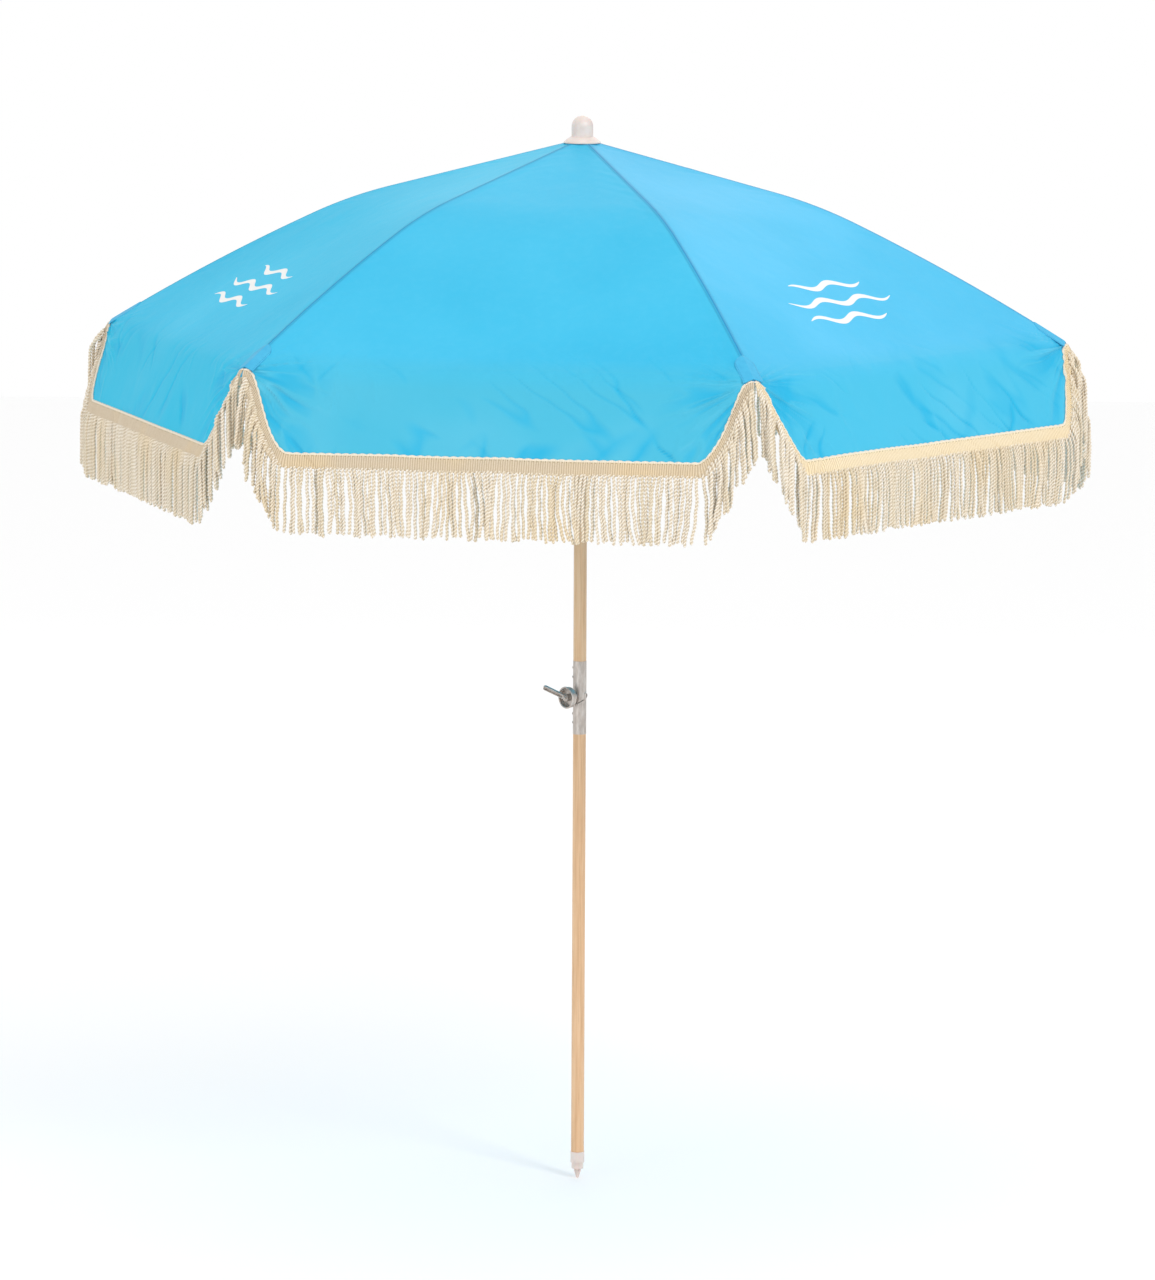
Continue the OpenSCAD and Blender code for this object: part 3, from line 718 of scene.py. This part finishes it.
def rib_vectors(i):
    """Unit vectors across rib i, level outwards over it, and up."""
    angle = FIRST_RIB + 2 * HALF_TURN * i
    out = np.array([math.cos(angle), math.sin(angle), 0.0])
    across = np.array([-math.sin(angle), math.cos(angle), 0.0])
    return across, out, np.array([0.0, 0.0, 1.0])


def gore_side(i, side):
    """The gore on one side of rib i, and the sign of x on that side of it."""
    return (i, 1) if side > 0 else ((i - 1) % RIBS, -1)


def press(piece):
    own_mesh(piece)


def sheet_area(points):
    """Area of a grid of points."""
    a = points[1:, :-1] - points[:-1, :-1]
    b = points[:-1, 1:] - points[:-1, :-1]
    c = points[1:, :-1] - points[1:, 1:]
    d = points[:-1, 1:] - points[1:, 1:]
    first = np.linalg.norm(np.cross(a, b), axis=-1).sum()
    second = np.linalg.norm(np.cross(c, d), axis=-1).sum()
    return float(first + second) / 2


def dome_grid(i, side):
    """x, s and the gore's half width there, over the half gore beside rib i."""
    rows = np.linspace(0, 1, DOME_ROWS) ** 0.92
    s = (PROFILE.start * (1 - rows))[:, None] * np.ones(COLS)
    half = PROFILE.at(s)[0] * math.tan(HALF_TURN)
    half = np.where(s >= -1e-9, RIM_HALF, np.minimum(half, RIM_HALF))
    _, sign = gore_side(i, side)
    return sign * half * (1 - column_shares()), s, half


def drop_grid(i, side):
    """x, s and the valance's half width there, over the half valance beside rib i's tip."""
    rows = np.linspace(0, 1, DROP_ROWS) ** 1.7
    s = (VALANCE_LEN * rows)[:, None] * np.ones(COLS)
    notch = notch_x(s)
    _, sign = gore_side(i, side)
    return sign * (RIM_HALF - notch) * (1 - column_shares()), s, RIM_HALF - notch


def cloth_piece(name, gore, x, s, half, material):
    """A thin sheet over a grid of x and s. Its normals come from the whole gore, so that
    the pieces of one gore meet without a line between them."""
    points = cloth_point(gore, x, s)
    gap = 0.0012    # the step that the cloth's slopes are taken over
    across = cloth_point(gore, x + gap, s) - cloth_point(gore, x - gap, s)
    down = cloth_point(gore, x, s + gap) - cloth_point(gore, x, s - gap)
    normals = np.cross(across, down)
    facing = gore_frame(gore)[1] + np.array([0.0, 0.0, 1.0])
    normals *= np.where(normals @ facing > 0, 1, -1)[..., None]
    normals /= np.linalg.norm(normals, axis=-1)[..., None]
    # the second value of edges is the creases' relief, which places the painted shade and highlight of the
    # creases
    edges = np.stack([np.clip(half - np.abs(x), 0, None), creases(gore, x, s)], axis=-1)
    uvs = {"cloth": np.stack([x, s], axis=-1), "edges": edges}
    piece = make_mesh(name, points, grid_quads(*x.shape), uvs, normals)
    piece.data.materials.append(material)
    return piece, sheet_area(points)


def add_canopy(materials):
    """Twelve half gores; each rides its rib and meets the next half along the gore's middle."""
    for i in range(RIBS):
        for side, word in ((-1, "right"), (1, "left")):
            gore, _ = gore_side(i, side)
            x, s, half = dome_grid(i, side)
            piece, area = cloth_piece(f"gore_{i + 1}_{word}", gore, x, s, half, materials[gore])
            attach(piece, f"rib_{i + 1}")
            press(piece)
        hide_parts(f"canopy_{i + 1}")
        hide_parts(f"canopy_{i + 1}")


def add_tapes(material):
    """The seam's allowance, folded inside the canopy over each rib."""
    rows = 160
    for i in range(RIBS):
        across, out, up = rib_vectors(i)
        r = np.linspace(0.030, CANOPY_R - 0.012, rows)
        shares = np.linspace(-1, 1, 9)
        fall = np.abs(shares) * TAPE_HALF * math.tan(HALF_TURN) * np.tan(slope_at(r))[:, None]
        place = r[:, None, None] * out + (shares * TAPE_HALF)[None, :, None] * across
        place = place + (cloth_z(r)[:, None] - fall - 0.0014)[..., None] * up
        under = place - 0.0005 * up
        uvs = np.stack(np.broadcast_arrays((shares * TAPE_HALF)[None, :], r[:, None]), axis=-1)
        piece = shell(f"rib_tape_{i + 1}", place, under, {"cloth": uvs})
        piece.data.materials.append(material)
        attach(piece, f"rib_{i + 1}")


def edge_path():
    """The valance's lower edge as x from the gore's middle and s, from the middle to the rib tip."""
    hem_x = np.linspace(0, RIM_HALF - NOTCH_W, 240)
    turn = np.linspace(0, math.pi, 200)
    s = NOTCH_TOP + (VALANCE_LEN - NOTCH_TOP) * (1 + np.cos(turn)) / 2
    x = np.concatenate([hem_x[:-1], RIM_HALF - notch_x(s)])
    s = np.concatenate([np.full(len(hem_x) - 1, VALANCE_LEN), s])
    length = np.concatenate([[0], np.cumsum(np.hypot(np.diff(x), np.diff(s)))])
    return length, x, s


EDGE_L, EDGE_X, EDGE_S = edge_path()
EDGE_LEN = float(EDGE_L[-1])


def on_edge(l):
    """x, s and the direction across the braid, at a distance along the valance's edge."""
    x = np.interp(l, EDGE_L, EDGE_X)
    s = np.interp(l, EDGE_L, EDGE_S)
    gap = 0.004
    dx = np.interp(l + gap, EDGE_L, EDGE_X) - np.interp(l - gap, EDGE_L, EDGE_X)
    ds = np.interp(l + gap, EDGE_L, EDGE_S) - np.interp(l - gap, EDGE_L, EDGE_S)
    size = np.hypot(dx, ds) + 1e-9
    out_x, out_s = -ds / size, dx / size
    # on the steep edge the braid hangs down rather than standing out square
    wx = 0.5 * out_x
    ws = 0.5 * out_s + 0.5
    size = np.hypot(wx, ws)
    return x, s, wx / size, ws / size


def braid_point(gore, sign, l, w, lift):
    """A point of the braid, w across it from the cloth's edge."""
    x, s, wx, ws = on_edge(l)
    ss = s + ws * w
    beside_rib = PROFILE.at(ss)[0] * math.tan(HALF_TURN) - 0.0008
    return cloth_point(gore, sign * np.minimum(x + wx * w, beside_rib), ss, lift)


def add_braids(materials):
    """The fringe's heading, along each half valance."""
    cols = 560
    made = {}
    for i in range(RIBS):
        for side, word in ((-1, "right"), (1, "left")):
            gore, sign = gore_side(i, side)
            l = np.concatenate([[0], np.linspace(5e-5, EDGE_LEN, cols - 1)])
            shares = np.linspace(0, 1, 14)
            ll, ww = np.meshgrid(l, shares)
            picot = 0.0016 * np.abs(np.sin(math.pi * ll / (2 * BRAID_LOOP))) * (ww < 0.02)
            w = -BRAID_LAP + BRAID_W * ww - picot
            ridge = 0.0007 * np.cos(2 * math.pi * ll / BRAID_RIB)
            crown = 0.0012 * np.sin(math.pi * np.clip(ww, 0, 1)) ** 0.5
            loop = 0.0012 * np.exp(-((ww - 0.06) / 0.05) ** 2)
            loop = loop * (0.6 + 0.4 * np.cos(2 * math.pi * ll / BRAID_LOOP))
            top = braid_point(gore, sign, ll, w, 0.0012 + ridge * 0.5 + crown + loop)
            low = braid_point(gore, sign, ll, w, 0.0004)
            uvs = np.stack([ll, (ww * BRAID_W)], axis=-1)
            piece = shell(f"braid_{i + 1}_{word}", top, low, {"cloth": uvs})
            piece.data.materials.append(materials[gore])
            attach(piece, f"valance_{i + 1}")
            press(piece)
            made[i, side] = piece
    return made


def tassel_paths(gore, sign, rng):
    """Centre lines of the tassels along a half valance: roots on the braid, ends hanging down."""
    count = int(EDGE_LEN / TASSEL_STEP)
    l = (np.arange(count) + 0.5) * EDGE_LEN / count
    rings = 64
    t = np.linspace(0, 1, rings)
    steep = smooth((l - (RIM_HALF - NOTCH_W)) / 0.03)
    across = BRAID_W - BRAID_LAP - 0.004 - 0.009 * steep
    root = braid_point(gore, sign, l, across, 0.0006 + 0.0024 * steep)
    above = braid_point(gore, sign, l, across - 0.006, 0.0006 + 0.0024 * steep)
    start = root - above
    start /= np.linalg.norm(start, axis=1)[:, None]
    along, outward = gore_frame(gore)
    length = TASSEL_LEN * (1 + rng.uniform(-0.035, 0.03, count))
    # neighbours lean together in clusters, and each one strays a little
    drift = np.convolve(rng.normal(0, 1, count + 8), np.ones(5) / 5, "same")[4:-4]
    curl = np.convolve(rng.normal(0, 1, count + 8), np.ones(3) / 3, "same")[4:-4]
    sway = 0.011 * drift * (1 + 0.5 * steep) + rng.normal(0, 0.0013, count)
    # those at the top of the notch close over the rib
    sway = sway + sign * 0.007 * smooth((l - EDGE_LEN + 0.035) / 0.035)
    bow = 0.006 * curl
    depth = (rng.uniform(-1, 1, count) * 0.0022) + steep * (0.004 + ((np.arange(count) % 3) - 1) * 0.0045)
    hang = t[None, :] * length[:, None]
    # a cord sets out square to the braid's edge and soon turns down
    turning = 0.016
    lean = turning * (1 - np.exp(-hang / turning))
    side_move = sway[:, None] * t ** 1.6 + bow[:, None] * np.sin(math.pi * t)
    wiggle = 2 * math.pi * (hang / 0.043) + rng.uniform(0, RANDOM_TURN, count)[:, None]
    side_move = side_move + 0.0007 * np.sin(wiggle)
    path = root[:, None, :] + lean[..., None] * start[:, None, :]
    path = path + side_move[..., None] * along
    settle = smooth(hang / 0.03)
    path = path + (depth[:, None] * settle)[..., None] * outward
    path[..., 2] -= hang - lean
    return path, hang, count, rings


def add_tassels(material, braids):
    """The twisted cotton cords of the fringe."""
    ring = 6
    turns = np.arange(ring) * 2 * math.pi / ring
    lobe = (1 + np.cos(2 * turns)) / 2
    oval = 0.52 + 0.48 * lobe
    for i in range(RIBS):
        for side, word in ((-1, "right"), (1, "left")):
            gore, sign = gore_side(i, side)
            rng = np.random.RandomState(100 + 7 * i + side)
            path, hang, count, rings = tassel_paths(gore, sign, rng)
            tangent = np.gradient(path, axis=1)
            tangent /= np.linalg.norm(tangent, axis=-1)[..., None]
            _, outward = gore_frame(gore)
            first = np.cross(tangent, outward)
            first /= np.linalg.norm(first, axis=-1)[..., None]
            second = np.cross(tangent, first)
            thick = TASSEL_R * (1 + rng.uniform(-0.10, 0.10, count))[:, None]
            fade = np.minimum(1, hang / 0.004 + 0.6)
            end = (hang[:, -1:] - hang) / 0.0035
            round_end = np.sqrt(np.clip(1 - (1 - np.clip(end, 0, 1)) ** 2, 0.02, 1))
            size = thick * fade * round_end * (1 + 0.05 * np.sin(2 * math.pi * hang / 0.0065))
            twist = hang / TASSEL_PITCH * 2 * math.pi + rng.uniform(0, RANDOM_TURN, count)[:, None]
            angle = twist[..., None] + turns
            radius = size[..., None] * oval
            points = path[:, :, None, :] + (radius * np.cos(angle))[..., None] * first[:, :, None, :]
            points = points + (radius * np.sin(angle))[..., None] * second[:, :, None, :]
            a, b, c = np.meshgrid(np.arange(count), np.arange(rings - 1), np.arange(ring), indexing="ij")
            here = (a * rings + b) * ring
            nxt = (c + 1) % ring
            quads = np.stack([here + c, here + nxt, here + ring + nxt, here + ring + c], axis=-1)
            # two quads close each end of a cord
            caps = (np.arange(count)[:, None] * rings + np.array([0, rings - 1])) * ring
            cap_quads = np.concatenate([
                np.stack([caps[:, 0] + 3, caps[:, 0] + 2, caps[:, 0] + 1, caps[:, 0]], axis=-1),
                np.stack([caps[:, 0] + 5, caps[:, 0] + 4, caps[:, 0] + 3, caps[:, 0]], axis=-1),
                np.stack([caps[:, 1], caps[:, 1] + 1, caps[:, 1] + 2, caps[:, 1] + 3], axis=-1),
                np.stack([caps[:, 1], caps[:, 1] + 3, caps[:, 1] + 4, caps[:, 1] + 5], axis=-1),
            ])
            tint = rng.uniform(0, 1, count)[:, None, None] * np.ones((count, rings, ring))
            # the second value is 1 on the strands' tops and 0 between them, for the painted shade in the
            # grooves
            uvs = np.stack([tint, lobe * np.ones((count, rings, 1))], axis=-1)
            quads = np.concatenate([quads.reshape(-1, 4), cap_quads])
            piece = make_mesh(f"fringe_{i + 1}_{word}", points.reshape(-1, 3), quads, {"cloth": uvs})
            piece.data.materials.append(material)
            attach(piece, f"valance_{i + 1}")
            press(piece)
            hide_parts(f"fringe_{i + 1}")
            braids[i, side] = (braids[i, side], piece)
    return braids


def add_valances(materials):
    """Twelve half valances, each riding the valance body of its rib tip."""
    for i in range(RIBS):
        for side, word in ((-1, "right"), (1, "left")):
            gore, _ = gore_side(i, side)
            x, s, half = drop_grid(i, side)
            piece, area = cloth_piece(f"valance_{i + 1}_{word}", gore, x, s, half + NO_SEAM,
                                      materials[gore])
            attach(piece, f"valance_{i + 1}")
            press(piece)
            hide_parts(f"valance_{i + 1}")


def add_pockets(material):
    """The pocket that holds each rib's tip, a small patch that shows through on top of the seam."""
    rows, cols = 40, 25
    for i in range(RIBS):
        across, out, up = rib_vectors(i)
        t = np.linspace(0, 1, rows)
        rounded = np.sqrt(np.clip(1 - np.clip((0.30 - t) / 0.30, 0, 1) ** 2, 0.0, 1))
        width = POCKET_HALF * rounded + 0.0002
        r = CANOPY_R - 0.004 - POCKET_LEN * (1 - t)
        shares = np.linspace(-1, 1, cols)
        side = shares[None, :] * width[:, None]
        # both gores fall away from the rib, by the canopy's own slope
        fall = np.abs(side) * math.tan(HALF_TURN) * np.tan(slope_at(r))[:, None]
        from_sides = np.minimum(1, (1 - np.abs(shares)) / 0.12)
        from_ends = np.minimum(1, np.minimum(t, 1 - t) / 0.05)
        edge = from_sides[None, :] * from_ends[:, None]
        high = 0.0006 + 0.0009 * smooth(edge)
        place = r[:, None, None] * out + side[..., None] * across
        place = place + (cloth_z(r)[:, None] - fall + high)[..., None] * up
        under = place - (high + 0.0002)[..., None] * up
        uvs = np.stack(np.broadcast_arrays(side, r[:, None]), axis=-1)
        piece = shell(f"tip_pocket_{i + 1}", place, under, {"cloth": uvs})
        piece.data.materials.append(material)
        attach(piece, f"rib_{i + 1}")


# ---------- CAD parts ----------

def finish_cad(material_of):
    """Give each CAD part that shows its material."""
    slots = {entry["node"]: entry["material_slot"] for entry in frame["record"]["subparts"]}
    for name, obj in frame["nodes"].items():
        mat = material_of.get(slots[name])
        if mat is None:
            continue
        obj.data.materials.clear()
        obj.data.materials.append(mat)


add_camera()
add_stage()
plain = cloth_material("nylon")
# painted sheen: the right gore's printed nylon is a lighter copy, for the light that falls on that side
lit_right_print = cloth_material("nylon_right_painted_sheen", True, ("#45B6DF", "#4ABAE3", "#55BFE8", "#45B8D8"))
# painted shade: the left gore's printed nylon is a deeper cyan copy, for how the light falls on that side
shaded_left_print = cloth_material("nylon_left_painted_shade", True, ("#2BB7DC", "#31BBDF", "#3BBFE2", "#22B9DA"))
gores = [{RIGHT_GORE: lit_right_print, LEFT_GORE: shaded_left_print}.get(g, plain) for g in range(RIBS)]
cotton = cotton_material()
braid = braid_material("braid", ("#C0AF92", "#CEBFA7", "#D9CCB8", "#A58D69"))
# painted light: the right gore's braid is a brighter, yellower copy, for the light that falls on that side
lit_right_braid = braid_material("braid_right_painted_light", ("#E0CDA6", "#EBDBBA", "#F3E6CC", "#B89E74"))
braids = [lit_right_braid if g == RIGHT_GORE else braid for g in range(RIBS)]
add_canopy(gores)
add_tapes(tape_material("seam_allowance", ("#37A6D2", "#43B2DC"), TAPE_HALF))
add_pockets(tape_material("tip_pocket", ("#36A5D0", "#3FAED6"), POCKET_HALF))
trims = add_tassels(cotton, add_braids(braids))
add_valances(gores)
finish_cad({"wood": wood_material(), "steel": steel_material(), "plastic": plastic_material()})
